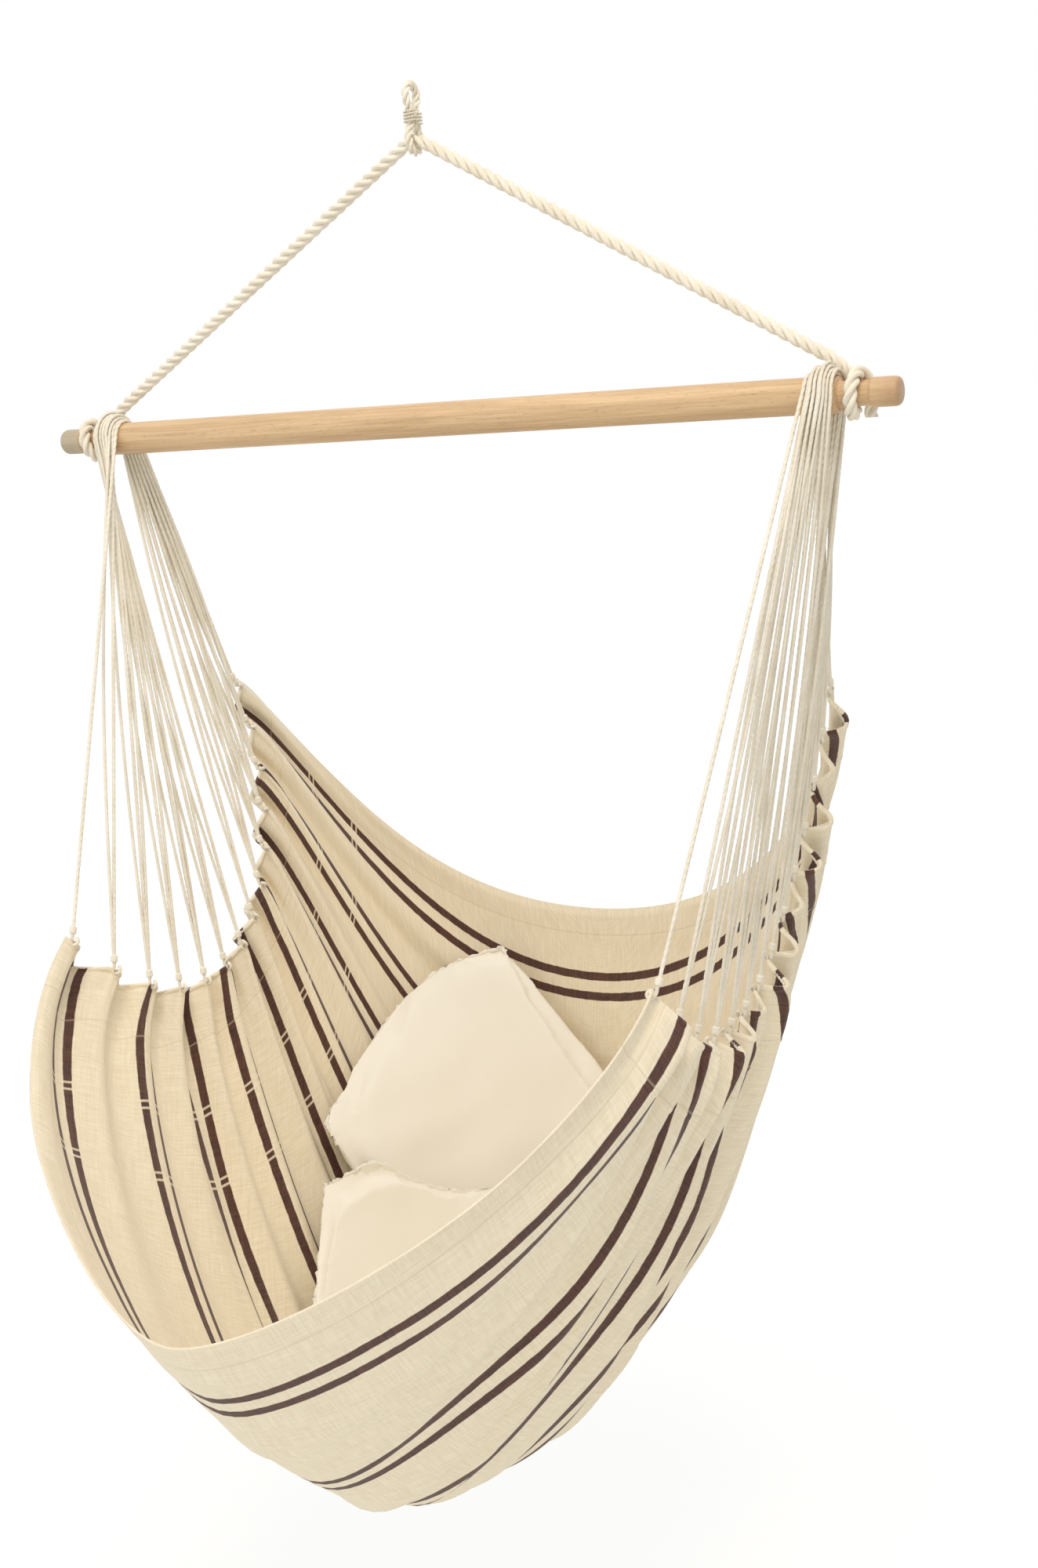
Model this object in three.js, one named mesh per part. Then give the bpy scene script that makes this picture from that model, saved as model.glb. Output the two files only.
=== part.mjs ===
// A hammock chair: a wooden spreader bar hangs from a rope sling and a small rope eye, and a
// wide striped cloth hangs from two fans of thin cords that pass over the bar. Two cushions lie in it.
// Sizes are in millimetres. +Z is up, +X runs along the bar and the open front faces -Y.
// The origin is the inner top of the hanging eye, where a hook bears.
import * as THREE from 'three';

// The gap that two touching pieces keep, and the gap between the turns of a winding.
const seatGap = 0.4;
const turnGap = 0.9;

// The spreader bar, a round stick with a turned neck and a knob at each end.
const barLength = 1100;
const barDiameter = 39;
const neckDiameter = 27;
const knobLength = 32;
const knobDiameter = 31;
const knobRounding = 5;
const neckFillet = 4;

// The sling, one rope from the left neck of the bar over the crown to the right neck.
const ropeDiameter = 15;
const slingHeight = 308;
const crownBend = 22;
const hitchTurns = 1;
const hitchGap = 1.8;
const hitchRise = 24;
const hitchLead = 34;
const hitchTail = 26;

// The hanging eye, a strand that holds the crown below and leaves a hole for the hook above.
const eyeStrand = 10;
const eyeHole = 14;
const eyeHeight = 55;
const waistLow = 18;
const waistLength = 13.5;
const whippingCord = 2.6;
const whippingTurns = 4;

// The fans: each cord passes over the bar and runs down to the side edge of the cloth at both ends.
const cordDiameter = 3.8;
const cordsPerSide = 7;
const bundleInset = 19.4;
const edgeCord = 3.4;
const hookTurn = Math.PI * 1.4;

// The cloth, a wide sheet hung by its two side edges. Its shape is drawn from three sizes.
const clothHalfWidth = 368;
const clothReach = 500;
const clothDrop = 1220;
const clothThickness = 3;
const foldDepth = 26;
const foldSag = 12;
const hookRoom = 1.3;

// Shares of those sizes, front hem first: the side edge, the shoulder below it, the belly and
// the middle line. Widths are shares of the half width, reaches of the reach, drops of the drop.
const edgeWidthShares = [1, 0.877, 1.127];
const edgeReachShares = [-0.422, 0.22, 0.499, 0.366];
const edgeDropShares = [0.493, 0.685, 0.451, 0.248];
const shoulderWidthShares = [0, 0, -0.054];
const shoulderReachShares = [-0.3, 0.2, 0.2];
const shoulderDropShares = [0.122, 0.041, 0.033];
const bellyWidthShares = [0.272, 0.324, 0.87];
const middleReachShares = [-1, 0.047, 1.1, 0.84];
const middleDropShares = [0.767, 1.255, 1.06, 0.5];
const foldEndShare = 0.35;
const foldFadePower = 1.4;
const cordMarginShare = 0.14;
const foldVaryShare = 0.25;

// The whole seat swings a little to the front, until it hangs in balance under the bar.
const seatSwing = 0.1715;

// The cushions, two stuffed squares. Each lies at a place of the sheet and is turned there. The focus
// is the point above that place from which it is pushed down on what lies below.
const seatCushionSize = 680;
const seatCushionHeight = 96;
const seatCushionFocusHeight = 650;
const seatCushionPlaceShares = [0.03, 0.45];
const seatCushionTurn = 0.65;
const backCushionSize = 600;
const backCushionHeight = 74;
const backCushionFocusHeight = 400;
const backCushionPlaceShares = [-0.24, 0.76];
const backCushionTurn = 1.5;
const cushionGap = 0.5;
const cushionLap = 12;
const cushionPinchShare = 0.05;
const cushionCornerShare = 0.09;
const cushionCrownPower = 0.42;
const cushionSeamShare = 0.4;
const hemSearchShare = 0.02;

// How finely round things and soft things are drawn.
const barSides = 32;
const ropeSides = 8;
const cordSides = 6;
const turnSteps = 20;
const clothColumns = 20;
const cushionCells = 16;

// Where the main parts lie, from the sizes above.
const barRadius = barDiameter / 2;
const ropeRadius = ropeDiameter / 2;
const cordRadius = cordDiameter / 2;
const edgeRadius = edgeCord / 2;
const eyeRadius = eyeStrand / 2;
const crownToOrigin = eyeHeight;
const barZ = -crownToOrigin - slingHeight;
const endsPerSide = cordsPerSide * 2;

const canvas = { color: 0xefe3c8, roughness: 0.95, metalness: 0 };
const rope = { color: 0xe6dcc2, roughness: 0.95, metalness: 0 };
const wood = { color: 0xd9b688, roughness: 0.55, metalness: 0 };

const chair = new THREE.Group();
const hung = new THREE.Group();
hung.position.z = barZ;
chair.add(hung);

function addMesh(group, name, geometry, look) {
  const mesh = new THREE.Mesh(geometry, new THREE.MeshStandardMaterial(look));
  mesh.name = name;
  group.add(mesh);
  return mesh;
}

// A route is a run of points with one ring of the tube at each of them.
class Route extends THREE.Curve {
  constructor(points) {
    super();
    this.points = points;
  }
  getPoint(t, target = new THREE.Vector3()) {
    const last = this.points.length - 1;
    const place = Math.min(t * last, last);
    const index = Math.min(Math.floor(place), last - 1);
    return target.lerpVectors(this.points[index], this.points[index + 1], place - index);
  }
  getPointAt(t, target) {
    return this.getPoint(t, target);
  }
  getTangentAt(t, target = new THREE.Vector3()) {
    const last = this.points.length - 1;
    const index = Math.round(t * last);
    const before = this.points[Math.max(index - 1, 0)];
    const here = this.points[index];
    const after = this.points[Math.min(index + 1, last)];
    const arriving = here.clone().sub(before).normalize();
    const leaving = after.clone().sub(here).normalize();
    return target.copy(arriving).add(leaving).normalize();
  }
}

function tube(points, radius, sides) {
  const ring = [];
  for (let i = 0; i < sides; i += 1) {
    const angle = (i / sides) * Math.PI * 2;
    ring.push(new THREE.Vector2(Math.cos(angle) * radius, Math.sin(angle) * radius));
  }
  const section = new THREE.Shape(ring);
  const route = new Route(points);
  return new THREE.ExtrudeGeometry(section, {
    steps: points.length - 1,
    bevelEnabled: false,
    extrudePath: route,
  });
}

// The least gap of a tube to itself, measured on points that lie at least one turn's bend apart.
function leastGap(points, diameter) {
  const along = [0];
  for (let i = 1; i < points.length; i += 1) along.push(along[i - 1] + points[i].distanceTo(points[i - 1]));
  const spots = [];
  for (let i = 1; i < points.length; i += 1) {
    for (let k = 0; k < turnSteps; k += 1) {
      const share = k / turnSteps;
      spots.push({
        at: points[i - 1].clone().lerp(points[i], share),
        run: along[i - 1] + share * (along[i] - along[i - 1]),
      });
    }
  }
  let least = Infinity;
  for (let i = 0; i < spots.length; i += 1) {
    for (let j = i + 1; j < spots.length; j += 1) {
      if (spots[j].run - spots[i].run < diameter * Math.PI) continue;
      least = Math.min(least, spots[i].at.distanceTo(spots[j].at));
    }
  }
  return least - diameter;
}

function reportGap(name, points, diameter) {
  console.log(`${name}: least gap to itself ${leastGap(points, diameter).toFixed(2)} mm`);
}

// The bar is turned: a long stick, a neck for the sling at each end, and a rounded knob outside it.
const barHalf = barLength / 2;
const hitchPitch = ropeDiameter + hitchGap;
const neckLength = ropeDiameter + hitchPitch * hitchTurns + seatGap * 2;
const knobStart = barHalf - knobLength;
const neckStart = knobStart - neckLength;
const neckRadius = neckDiameter / 2;
const knobRadius = knobDiameter / 2;

function barEnd() {
  return [
    [barRadius, neckStart - neckFillet],
    [barRadius - neckFillet / 2, neckStart - neckFillet / 3],
    [neckRadius, neckStart],
    [neckRadius, knobStart],
    [knobRadius, knobStart + neckFillet / 2],
    [knobRadius, barHalf - knobRounding],
    [knobRadius - knobRounding / 3, barHalf - knobRounding / 3],
    [knobRadius - knobRounding, barHalf],
    [0, barHalf],
  ];
}

const barProfile = [];
for (const [radius, along] of barEnd().reverse()) barProfile.push(new THREE.Vector2(radius, -along));
for (const [radius, along] of barEnd()) barProfile.push(new THREE.Vector2(radius, along));
const bar = new THREE.LatheGeometry(barProfile, barSides);
const barMesh = addMesh(hung, 'spreader_bar', bar, wood);
barMesh.rotation.z = -Math.PI / 2;

// The sling is wound on the two necks and bends over at the crown, where the eye holds it.
const hitchRadius = neckRadius + seatGap * 1.3 + ropeRadius;
const hitchInner = neckStart + seatGap + ropeRadius;

function hitchPoints(side) {
  const points = [];
  const steps = hitchTurns * turnSteps;
  const outer = hitchInner + hitchPitch * hitchTurns;
  points.push(new THREE.Vector3(side * outer, hitchRadius, -hitchTail));
  points.push(new THREE.Vector3(side * outer, hitchRadius, -hitchTail / 3));
  for (let i = 0; i <= steps; i += 1) {
    const turn = i / steps;
    const angle = turn * hitchTurns * Math.PI * 2;
    const along = outer - hitchPitch * hitchTurns * turn;
    const y = Math.cos(angle) * hitchRadius;
    points.push(new THREE.Vector3(side * along, y, Math.sin(angle) * hitchRadius));
  }
  return points;
}

const bendCentre = slingHeight - crownBend;
const legSpan = Math.hypot(hitchInner, hitchRise - bendCentre);
const legAngle = Math.atan2(hitchRise - bendCentre, hitchInner) + Math.acos(crownBend / legSpan);

function legPoints(side) {
  const leave = new THREE.Vector3(side * hitchInner, hitchRadius, 0);
  const corner = new THREE.Vector3(side * hitchInner, hitchRadius, hitchRise);
  const top = new THREE.Vector3(
    side * Math.cos(legAngle) * crownBend,
    0,
    bendCentre + Math.sin(legAngle) * crownBend,
  );
  const straight = top.clone().sub(corner).normalize().multiplyScalar(hitchLead).add(corner);
  const curve = new THREE.QuadraticBezierCurve3(leave, corner, straight);
  const points = curve.getPoints(turnSteps / 2).slice(1);
  points.push(straight.clone().lerp(top, 0.5));
  return points;
}

const slingRoute = [...hitchPoints(-1), ...legPoints(-1)];
const bendSteps = turnSteps / 2;
for (let i = 0; i <= bendSteps; i += 1) {
  const angle = Math.PI - legAngle + (i / bendSteps) * (legAngle * 2 - Math.PI);
  const rise = bendCentre + Math.sin(angle) * crownBend;
  slingRoute.push(new THREE.Vector3(Math.cos(angle) * crownBend, 0, rise));
}
slingRoute.push(...legPoints(1).reverse(), ...hitchPoints(1).reverse());
addMesh(hung, 'sling_rope', tube(slingRoute, ropeRadius, ropeSides), rope);
reportGap('sling_rope', slingRoute.slice(0, turnSteps * hitchTurns + turnSteps), ropeDiameter);

// The hanging eye: one strand goes round the crown of the sling, is drawn in at the waist and
// opens again above it. Both its ends meet inside the whipping.
const crownBendRadius = ropeRadius + seatGap + eyeRadius;
const eyeBendRadius = eyeHole / 2 + eyeRadius;
const waistHalf = eyeRadius + seatGap;
const eyeTop = eyeHeight - eyeHole / 2;
const waistHigh = waistLow + waistLength;

function arc(radius, height, from, to, steps) {
  const points = [];
  for (let i = 0; i <= steps; i += 1) {
    const angle = from + (i / steps) * (to - from);
    points.push(new THREE.Vector3(0, Math.sin(angle) * radius, height + Math.cos(angle) * radius));
  }
  return points;
}

const lowSpan = Math.hypot(waistHalf, waistLow);
const lowAngle = Math.atan2(waistHalf, waistLow) + Math.acos(crownBendRadius / lowSpan);
const highSpan = Math.hypot(waistHalf, eyeTop - waistHigh);
const highAngle = Math.PI - Math.atan2(waistHalf, eyeTop - waistHigh) - Math.acos(eyeBendRadius / highSpan);
const waistMiddle = waistLow + waistLength / 2;
const eyeRoute = [
  new THREE.Vector3(0, -waistHalf, waistMiddle + seatGap),
  new THREE.Vector3(0, -waistHalf, waistHigh),
  ...arc(eyeBendRadius, eyeTop, -highAngle, highAngle, turnSteps / 2),
  new THREE.Vector3(0, waistHalf, waistHigh),
  new THREE.Vector3(0, waistHalf, waistLow),
  ...arc(crownBendRadius, 0, lowAngle, Math.PI * 2 - lowAngle, turnSteps / 2),
  new THREE.Vector3(0, -waistHalf, waistLow),
  new THREE.Vector3(0, -waistHalf, waistMiddle - seatGap),
];
const eye = new THREE.Group();
eye.position.z = -crownToOrigin;
chair.add(eye);
addMesh(eye, 'hanging_eye', tube(eyeRoute, eyeRadius, ropeSides), rope);

// The whipping winds round both strands at the waist.
const whipRadius = eyeRadius + seatGap * 2 + whippingCord / 2;
const whipPitch = whippingCord + turnGap;
const whipHalfSteps = turnSteps / 2;
const whipRoute = [];
for (let turn = 0; turn < whippingTurns; turn += 1) {
  for (let half = 0; half < 2; half += 1) {
    const centre = half === 0 ? waistHalf : -waistHalf;
    for (let i = 0; i < whipHalfSteps; i += 1) {
      const angle = (half + i / (whipHalfSteps - 1)) * Math.PI;
      const climb = turn + (half + i / whipHalfSteps) / 2;
      whipRoute.push(new THREE.Vector3(
        Math.cos(angle) * whipRadius,
        centre + Math.sin(angle) * whipRadius,
        waistMiddle + (climb - whippingTurns / 2) * whipPitch,
      ));
    }
  }
}
addMesh(eye, 'neck_whipping', tube(whipRoute, whippingCord / 2, cordSides), rope);
reportGap('neck_whipping', whipRoute, whippingCord);

// The cloth hangs as a smooth sheet between four lines that run from the front hem to the back hem.
function bezier(shares, size, t) {
  const s = 1 - t;
  if (shares.length === 3) return size * (s * s * shares[0] + 2 * s * t * shares[1] + t * t * shares[2]);
  const ends = s * s * s * shares[0] + t * t * t * shares[3];
  return size * (ends + 3 * s * s * t * shares[1] + 3 * s * t * t * shares[2]);
}

const barAxis = new THREE.Vector3(1, 0, 0);

// A place on the sheet: u runs from -1 at the left edge to 1 at the right, v from front hem to back.
function sheet(u, v) {
  const edge = new THREE.Vector3(
    bezier(edgeWidthShares, clothHalfWidth, v),
    bezier(edgeReachShares, clothReach, v),
    -bezier(edgeDropShares, clothDrop, v),
  );
  const shoulder = new THREE.Vector3(
    bezier(shoulderWidthShares, clothHalfWidth, v),
    bezier(shoulderReachShares, clothReach, v),
    -bezier(shoulderDropShares, clothDrop, v),
  ).add(edge);
  const middle = new THREE.Vector3(
    0,
    bezier(middleReachShares, clothReach, v),
    -bezier(middleDropShares, clothDrop, v),
  );
  const belly = middle.clone().setX(bezier(bellyWidthShares, clothHalfWidth, v));
  const place = new THREE.CubicBezierCurve3(edge, shoulder, belly, middle).getPoint(1 - Math.abs(u));
  place.x *= Math.sign(u);
  return place.applyAxisAngle(barAxis, -seatSwing);
}

const nudge = 1e-3;

// The way out of the sheet, away from the sitter.
function outward(u, v) {
  const u0 = Math.max(u - nudge, -1);
  const u1 = Math.min(u + nudge, 1);
  const v0 = Math.max(v - nudge, 0);
  const v1 = Math.min(v + nudge, 1);
  const across = sheet(u1, v).sub(sheet(u0, v));
  const back = sheet(u, v1).sub(sheet(u, v0));
  return back.cross(across).normalize();
}

// Down the sheet from its side edge.
function inwardAlong(side, v) {
  return sheet(side * (1 - nudge), v).sub(sheet(side, v)).normalize();
}

// The folds stand out between the cords and die away towards the seat.
const cordSpan = endsPerSide - 1 + cordMarginShare * 2;

function foldWave(v) {
  return 0.5 - 0.5 * Math.cos((cordSpan * v - cordMarginShare) * Math.PI * 2);
}

function foldHeight(v) {
  return foldWave(v) * (1 + foldVaryShare * Math.sin(cordSpan * v * 2));
}

function foldFade(u) {
  return Math.max((Math.abs(u) - foldEndShare) / (1 - foldEndShare), 0) ** foldFadePower;
}

function folded(u, v) {
  const place = sheet(u, v);
  const fade = foldFade(u) * foldHeight(v);
  place.addScaledVector(outward(u, v), fade * foldDepth);
  if (u !== 0) place.addScaledVector(inwardAlong(Math.sign(u), v), fade * foldSag);
  return place;
}

// The cord hooks pass under the edge cord, so the cloth starts lower at each of them.
const hookRadius = edgeRadius + hookRoom + cordRadius;
const edgeRest = edgeRadius + seatGap * 2.5;
const edgeNotch = hookRadius + cordRadius + seatGap * 1.5;
const hookStraight = cordRadius + edgeRadius + seatGap;

function clothPlace(u, v, layer) {
  const place = folded(u, v);
  const notch = (edgeRest + (edgeNotch - edgeRest) * (1 - foldWave(v))) * foldFade(u);
  if (u !== 0) place.addScaledVector(inwardAlong(Math.sign(u), v), notch);
  return place.addScaledVector(outward(u, v), layer * clothThickness / 2);
}

// A closed body from two layers of the same grid, joined round their rim.
function shell(outer, inner) {
  const rows = outer.length;
  const columns = outer[0].length;
  const positions = [];
  for (const point of [outer, inner].flat(2)) positions.push(...point);
  const at = (layer, i, j) => (layer * rows + i) * columns + j;
  const faces = [];
  for (let i = 0; i < rows - 1; i += 1) {
    for (let j = 0; j < columns - 1; j += 1) {
      const corners = [[i, j], [i, j + 1], [i + 1, j + 1], [i + 1, j]];
      const [a, b, c, d] = corners.map(([r, k]) => at(0, r, k));
      const [e, f, g, h] = corners.map(([r, k]) => at(1, r, k));
      faces.push(a, b, c, a, c, d, e, g, f, e, h, g);
    }
  }
  const rim = [];
  for (let j = 0; j < columns - 1; j += 1) rim.push([0, j]);
  for (let i = 0; i < rows - 1; i += 1) rim.push([i, columns - 1]);
  for (let j = columns - 1; j > 0; j -= 1) rim.push([rows - 1, j]);
  for (let i = rows - 1; i > 0; i -= 1) rim.push([i, 0]);
  for (let k = 0; k < rim.length; k += 1) {
    const [i, j] = rim[k];
    const [r, s] = rim[(k + 1) % rim.length];
    faces.push(at(0, i, j), at(1, i, j), at(1, r, s), at(0, i, j), at(1, r, s), at(0, r, s));
  }
  return outwardFacing(positions, faces);
}

// Turns the faces of a closed body over if they point in.
function outwardFacing(positions, faces) {
  const geometry = new THREE.BufferGeometry();
  geometry.setAttribute('position', new THREE.Float32BufferAttribute(positions, 3));
  const corner = [new THREE.Vector3(), new THREE.Vector3(), new THREE.Vector3()];
  const place = geometry.getAttribute('position');
  let volume = 0;
  for (let i = 0; i < faces.length; i += 3) {
    corner.forEach((point, k) => point.fromBufferAttribute(place, faces[i + k]));
    volume += corner[0].dot(corner[1].clone().cross(corner[2]));
  }
  if (volume < 0) faces.reverse();
  geometry.setIndex(faces);
  geometry.computeVertexNormals();
  return geometry;
}

// The rows of the cloth lie at the cords and halfway between them, its columns closer at the edges.
const clothRows = [0];
for (let i = 0; i < endsPerSide * 2 - 1; i += 1) clothRows.push((i / 2 + cordMarginShare) / cordSpan);
clothRows.push(1);

function clothLayer(layer) {
  const grid = [];
  for (const v of clothRows) {
    const row = [];
    for (let j = 0; j <= clothColumns; j += 1) row.push(clothPlace((j / clothColumns) * 2 - 1, v, layer));
    grid.push(row);
  }
  return grid;
}
const cloth = addMesh(hung, 'hammock_cloth', shell(clothLayer(1), clothLayer(-1)), canvas);

// Each cord end hooks the edge cord at its own place along the side edge, front to back.
const sideNames = { '-1': 'left', 1: 'right' };
const bundlePitch = cordDiameter + turnGap;
const bundleRadius = barRadius + seatGap * 1.5 + cordRadius;

function cordEnd(side, index) {
  const v = (index + cordMarginShare) / cordSpan;
  const centre = sheet(side, v);
  const along = sheet(side, v + nudge).sub(sheet(side, v - nudge)).normalize();
  return { centre, along };
}

function hookPoints(start, end, side) {
  const down = end.centre.clone().sub(start).normalize();
  const out = down.clone().cross(end.along).normalize().multiplyScalar(side);
  down.addScaledVector(end.along, -down.dot(end.along)).normalize();
  const points = [];
  const steps = turnSteps / 2;
  for (let i = 0; i <= steps; i += 1) {
    const angle = (i / steps) * hookTurn;
    const point = end.centre.clone();
    point.addScaledVector(out, Math.cos(angle) * hookRadius);
    point.addScaledVector(down, Math.sin(angle) * hookRadius);
    points.push(point);
  }
  return points;
}

// The angle at which a leg leaves the bar, so that it runs straight to its hook.
function leavingAngle(target, way) {
  const span = Math.hypot(target.y, target.z);
  return Math.atan2(target.z, target.y) + way * Math.acos(bundleRadius / span);
}

function cordRoute(side, index) {
  const x = side * (neckStart - bundleInset + (index - (cordsPerSide - 1) / 2) * bundlePitch);
  const front = cordEnd(side, index);
  const back = cordEnd(side, endsPerSide - 1 - index);
  const onBar = (angle) => {
    const y = Math.cos(angle) * bundleRadius;
    return new THREE.Vector3(x, y, Math.sin(angle) * bundleRadius);
  };
  const backAngle = leavingAngle(back.centre, 1);
  const frontAngle = leavingAngle(front.centre, -1) + Math.PI * 2;
  const over = [];
  const steps = turnSteps / 2;
  for (let i = 0; i <= steps; i += 1) over.push(onBar(frontAngle + (i / steps) * (backAngle - frontAngle)));
  const frontHook = hookPoints(over[0], front, side).reverse();
  const backHook = hookPoints(over[steps], back, side);
  return [...frontHook, ...over, ...backHook];
}

for (const side of [-1, 1]) {
  for (let index = 0; index < cordsPerSide; index += 1) {
    const name = `${sideNames[side]}_cord_${index + 1}`;
    addMesh(hung, name, tube(cordRoute(side, index), cordRadius, cordSides), rope);
  }
}

// The edge cord runs along the side edge of the cloth and rises at each hook.
function edgeRoute(side) {
  const stops = [];
  for (const v of clothRows) {
    const along = sheet(side, Math.min(v + nudge, 1)).sub(sheet(side, Math.max(v - nudge, 0))).normalize();
    const place = folded(side, v);
    const atHook = v > 0 && v < 1 && foldWave(v) < 0.5;
    const straight = atHook ? [-hookStraight, 0, hookStraight] : [0];
    for (const length of straight) stops.push(place.clone().addScaledVector(along, length));
  }
  return new THREE.CatmullRomCurve3(stops, false, 'centripetal').getPoints((stops.length - 1) * 2);
}

for (const side of [-1, 1]) {
  addMesh(hung, `${sideNames[side]}_edge_cord`, tube(edgeRoute(side), edgeRadius, cordSides), rope);
}

// A cushion's plan is a square with drawn-in sides and rounded corners. Each point of the plan is
// pushed away from a focus above it until it meets what lies below, so that the underside takes the
// shape of the cloth, and the crown stands up towards the focus.
function cushionPlan(size, a, b) {
  const corner = 1 - cushionCornerShare * a * a * b * b;
  const x = a * (size / 2) * (1 - cushionPinchShare * (1 - b * b)) * corner;
  const y = b * (size / 2) * (1 - cushionPinchShare * (1 - a * a)) * corner;
  return [x, y];
}

// How far down along a way the cloth lies. Past a hem there is no cloth, and the cushion goes
// straight on there, as far down as the last cloth found on the line back to its middle.
function clothBelow(rays, way, straightDown) {
  const aim = way.clone();
  let hits = [];
  for (let share = 0; !hits.length; share += hemSearchShare) {
    aim.lerpVectors(way, straightDown, Math.min(share, 1)).normalize();
    rays.set(rays.ray.origin, aim);
    hits = rays.intersectObject(cloth);
  }
  rays.set(rays.ray.origin, way);
  return hits[0].distance;
}

// Where another cushion lies below, the lift over it is eased out to all sides.
function eased(lifts, columns) {
  const last = columns - 1;
  const kept = (i) => THREE.MathUtils.clamp(i, 0, last);
  const at = (i, j) => lifts[kept(i) * columns + kept(j)];
  return lifts.map((lift, k) => {
    const i = Math.floor(k / columns);
    const j = k % columns;
    return Math.max(lift, (at(i - 1, j) + at(i + 1, j) + at(i, j - 1) + at(i, j + 1)) / 4);
  });
}

function cushion([u, v], turn, size, height, focusHeight, below) {
  const up = outward(u, v).negate();
  const right = sheet(u + nudge, v).sub(sheet(u - nudge, v)).normalize().applyAxisAngle(up, turn);
  const back = up.clone().cross(right);
  const focus = sheet(u, v).addScaledVector(up, focusHeight);
  const straightDown = up.clone().negate();
  const rays = new THREE.Raycaster();
  const columns = cushionCells + 1;
  const shares = [];
  for (let j = 0; j < columns; j += 1) shares.push(Math.sin(((j / cushionCells) * 2 - 1) * Math.PI / 2));
  const ways = [];
  const floors = [];
  const crowns = [];
  let lifts = [];
  for (const b of shares) {
    for (const a of shares) {
      const [x, y] = cushionPlan(size, a, b);
      const way = right.clone().multiplyScalar(x).addScaledVector(back, y);
      way.addScaledVector(up, -focusHeight);
      rays.set(focus, way.normalize());
      const floor = clothBelow(rays, way, straightDown) - cushionGap;
      const hits = below ? rays.intersectObject(below) : [];
      ways.push(way);
      floors.push(floor);
      lifts.push(hits.length ? floor - hits[0].distance + cushionLap : 0);
      crowns.push(Math.max((1 - a * a) * (1 - b * b), 0) ** cushionCrownPower);
    }
  }
  for (let k = 0; k < cushionCells / 2; k += 1) lifts = eased(lifts, columns);
  const underside = lifts.map((lift, k) => lift + height * cushionSeamShare * (1 - crowns[k]));
  const sink = Math.min(...underside);
  const positions = [];
  const layers = [[], []];
  for (const top of [0, 1]) {
    for (let k = 0; k < ways.length; k += 1) {
      const i = Math.floor(k / columns);
      const j = k % columns;
      const rim = i % cushionCells === 0 || j % cushionCells === 0;
      if (top && rim) {
        layers[1].push(layers[0][k]);
        continue;
      }
      const level = underside[k] - sink + top * height * crowns[k];
      layers[top].push(positions.length / 3);
      positions.push(...focus.clone().addScaledVector(ways[k], floors[k] - level));
    }
  }
  const faces = [];
  for (const layer of layers) {
    for (let i = 0; i < cushionCells; i += 1) {
      for (let j = 0; j < cushionCells; j += 1) {
        const p = i * columns + j;
        const cell = [p, p + 1, p + columns + 1, p, p + columns + 1, p + columns].map((k) => layer[k]);
        faces.push(...(layer === layers[1] ? cell : cell.reverse()));
      }
    }
  }
  return outwardFacing(positions, faces);
}

const backCushion = cushion(
  backCushionPlaceShares,
  backCushionTurn,
  backCushionSize,
  backCushionHeight,
  backCushionFocusHeight,
);
const backMesh = addMesh(hung, 'back_cushion', backCushion, canvas);
const seatCushion = cushion(
  seatCushionPlaceShares,
  seatCushionTurn,
  seatCushionSize,
  seatCushionHeight,
  seatCushionFocusHeight,
  backMesh,
);
addMesh(hung, 'seat_cushion', seatCushion, canvas);

export default chair;
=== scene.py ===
"""A hammock chair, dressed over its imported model.

The cloth is one surface of two parameters: u runs from -1 at its left side edge to 1 at its right
side edge, and v from 0 at the front hem to 1 at the back hem. Four lines run from hem to hem: the
side edge, the shoulder below it, the belly and the middle line. Each is a Bezier curve in v, and at
every v the sheet is the cubic Bezier curve in 1 - |u| over those four points. Folds, hems, cords
and stripes are placed from that surface. Sizes are in millimetres in the frame of the bar, whose
middle line is the X axis, and put_mesh moves them to the row frame and turns them to metres.
"""

import math

import bmesh
import bpy
import numpy as np
from mathutils import Matrix


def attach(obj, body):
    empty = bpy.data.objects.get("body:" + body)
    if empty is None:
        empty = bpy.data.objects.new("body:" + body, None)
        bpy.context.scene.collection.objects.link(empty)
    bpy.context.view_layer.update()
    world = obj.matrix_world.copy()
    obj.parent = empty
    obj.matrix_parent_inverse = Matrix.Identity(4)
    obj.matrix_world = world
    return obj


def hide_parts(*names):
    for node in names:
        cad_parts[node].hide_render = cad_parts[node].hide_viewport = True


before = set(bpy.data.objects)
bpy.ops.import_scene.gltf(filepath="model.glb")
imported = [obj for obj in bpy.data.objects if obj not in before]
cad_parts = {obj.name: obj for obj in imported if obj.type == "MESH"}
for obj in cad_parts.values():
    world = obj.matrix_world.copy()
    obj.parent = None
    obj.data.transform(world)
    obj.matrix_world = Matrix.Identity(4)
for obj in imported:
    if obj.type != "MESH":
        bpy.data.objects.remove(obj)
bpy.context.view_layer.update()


def placed(name, data):
    """An object of that data, in the scene."""
    made = bpy.data.objects.new(name, data)
    bpy.context.scene.collection.objects.link(made)
    return made


# The camera of the photograph. It stands to the right of the open front, 5 cm higher than the bar,
# and looks down at the seat, rolled by four degrees. Its picture is 1324 by 2000 pixels.
camera_side = 0.5243716
camera_distance = 2.2863777
camera_height = -0.3152551
camera_pan = -0.0278878
camera_tilt = -0.2085019
camera_roll = -0.0736742
focal_pixels = 2484.55
picture_height = 2000

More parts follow.
